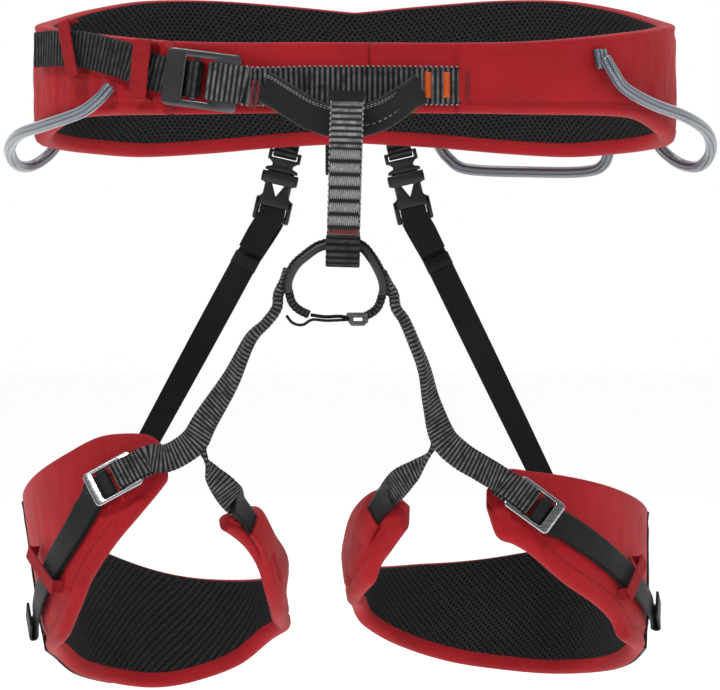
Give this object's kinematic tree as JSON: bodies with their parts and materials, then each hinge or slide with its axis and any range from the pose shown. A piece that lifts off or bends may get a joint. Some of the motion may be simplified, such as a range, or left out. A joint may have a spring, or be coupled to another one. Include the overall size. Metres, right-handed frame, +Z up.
{
  "type": "climbing harness",
  "caption": "Climbing harness with a padded waist belt, adjustable leg loops, tie-in straps, belay loop, rear elastic risers and gear loops.",
  "frame": {"origin": "the middle of the waist opening, at the height of the webbing in the front of the belt", "axes": "+Z up when worn, -Y to the wearer's front, +X to the wearer's left"},
  "size_m": [0.3569, 0.2246, 0.3567],
  "materials": {
    "red_nylon": "woven nylon shell, matt",
    "black_mesh": "perforated mesh lining",
    "foam": "closed cell foam",
    "grey_webbing": "ribbed polyamide webbing",
    "black_webbing": "woven polyamide webbing",
    "black_elastic": "woven elastic",
    "wear_sleeve": "tough sleeve over webbing",
    "gunmetal": "dark anodised, satin",
    "steel": "polished with fine brushing",
    "black_plastic": "moulded",
    "grey_plastic": "moulded",
    "gear_tube": "clear tube over a patterned cord"
  },
  "bodies": {
    "waist_belt": {"belt_shell": "red_nylon", "belt_foam": "foam", "belt_liner": "black_mesh", "belt_load_webbing": "black_webbing", "belt_tongue": "red_nylon", "waist_buckle_slider": "steel", "waist_strap": "grey_webbing", "waist_adjusting_strap": "black_webbing", "keeper_front": "red_nylon", "keeper_side": "red_nylon", "tie_in_sleeve": "black_webbing", "tie_in_arch": "wear_sleeve", "bridge_tab_left": "black_webbing", "bridge_tab_right": "black_webbing", "bridge_elastic": "black_elastic", "bridge_hook": "grey_plastic", "riser_tab_left": "black_webbing", "riser_tab_right": "black_webbing", "riser_plug_left": "black_plastic", "riser_plug_right": "black_plastic"},
    "waist_buckle": {"waist_buckle_frame": "gunmetal"},
    "belay_loop": {"belay_loop": "grey_webbing", "belay_loop_overlap": "grey_webbing"},
    "leg_left": {"leg_shell_left": "red_nylon", "leg_foam_left": "foam", "leg_liner_left": "black_mesh", "leg_buckle_left_slider": "steel", "riser_left": "grey_webbing", "riser_inner_left": "grey_webbing", "leg_adjusting_strap_left": "black_webbing", "leg_keeper_left": "red_nylon", "elastic_riser_left": "black_elastic"},
    "leg_buckle_left": {"leg_buckle_left_frame": "steel"},
    "riser_socket_left": {"riser_socket_left": "black_plastic"},
    "leg_right": {"leg_shell_right": "red_nylon", "leg_foam_right": "foam", "leg_liner_right": "black_mesh", "leg_buckle_right_slider": "steel", "riser_right": "grey_webbing", "riser_inner_right": "grey_webbing", "leg_adjusting_strap_right": "black_webbing", "leg_keeper_right": "red_nylon", "elastic_riser_right": "black_elastic"},
    "leg_buckle_right": {"leg_buckle_right_frame": "steel"},
    "riser_socket_right": {"riser_socket_right": "black_plastic"},
    "gear_loop_front_left": {"gear_loop_front_left": "gear_tube"},
    "gear_loop_front_right": {"gear_loop_front_right": "gear_tube"},
    "gear_loop_rear_left": {"gear_loop_rear_left": "gear_tube"},
    "gear_loop_rear_right": {"gear_loop_rear_right": "gear_tube"},
    "haul_loop": {"haul_loop": "black_webbing"}
  },
  "joints": [
    {"name": "belay_loop_swing", "type": "hinge", "parent": "waist_belt", "child": "belay_loop", "pos_m": [-0.00355, -0.10925, -0.05025], "axis": [-0.0286, 0.0186, -0.9994], "range_deg": [-11, 11]},
    {"name": "waist_buckle_lift", "type": "hinge", "parent": "waist_belt", "child": "waist_buckle", "pos_m": [-0.05312, -0.09016, -0.00471], "axis": [0.1362, -0.0288, 0.9903], "range_deg": [0, 25], "deforming": ["waist_strap"]},
    {"name": "leg_left_drop", "type": "hinge", "parent": "waist_belt", "child": "leg_left", "pos_m": [-0.0352, -0.106, -0.111], "axis": [-0.97, -0.0941, 0.224], "range_deg": [0, 25], "stiffness_Nm_per_rad": 0.6, "springref_deg": -14.32, "deforming": ["elastic_riser_left"]},
    {"name": "riser_socket_left_pull", "type": "slide", "parent": "waist_belt", "child": "riser_socket_left", "axis": [-0.225, 0, -0.9744], "range_m": [0, 0.02]},
    {"name": "leg_buckle_left_lift", "type": "hinge", "parent": "leg_left", "child": "leg_buckle_left", "pos_m": [-0.10289, -0.07675, -0.18626], "axis": [-0.4374, 0.4217, 0.7942], "range_deg": [0, 25], "deforming": ["riser_left"]},
    {"name": "leg_right_drop", "type": "hinge", "parent": "waist_belt", "child": "leg_right", "pos_m": [0.0195, -0.106, -0.111], "axis": [-0.9677, 0.1164, -0.2234], "range_deg": [0, 25], "stiffness_Nm_per_rad": 0.6, "springref_deg": -14.32, "deforming": ["elastic_riser_right"]},
    {"name": "riser_socket_right_pull", "type": "slide", "parent": "waist_belt", "child": "riser_socket_right", "axis": [0.225, 0, -0.9744], "range_m": [0, 0.02]},
    {"name": "leg_buckle_right_lift", "type": "hinge", "parent": "leg_right", "child": "leg_buckle_right", "pos_m": [0.07608, -0.07701, -0.19729], "axis": [-0.5577, -0.4167, -0.7179], "range_deg": [0, 25], "deforming": ["riser_right"]},
    {"name": "gear_loop_front_left_swing", "type": "hinge", "parent": "waist_belt", "child": "gear_loop_front_left", "pos_m": [-0.13047, -0.01112, -0.00675], "axis": [-0.2381, 0.9696, -0.0558], "range_deg": [0, 28]},
    {"name": "gear_loop_front_right_swing", "type": "hinge", "parent": "waist_belt", "child": "gear_loop_front_right", "pos_m": [0.13714, -0.01394, -0.0035], "axis": [-0.2765, -0.9298, 0.2428], "range_deg": [0, 60]},
    {"name": "gear_loop_rear_left_swing", "type": "hinge", "parent": "waist_belt", "child": "gear_loop_rear_left", "pos_m": [-0.09422, 0.07416, 0.004], "axis": [0.9146, 0.4045, 0], "range_deg": [0, 60]},
    {"name": "gear_loop_rear_right_swing", "type": "hinge", "parent": "waist_belt", "child": "gear_loop_rear_right", "pos_m": [0.08664, 0.07593, -0.012], "axis": [0.9321, -0.3621, 0], "range_deg": [0, 60]},
    {"name": "haul_loop_swing", "type": "hinge", "parent": "waist_belt", "child": "haul_loop", "pos_m": [-0.0107, 0.0955, -0.015], "axis": [1, 0, 0], "range_deg": [0, 80]}
  ]
}
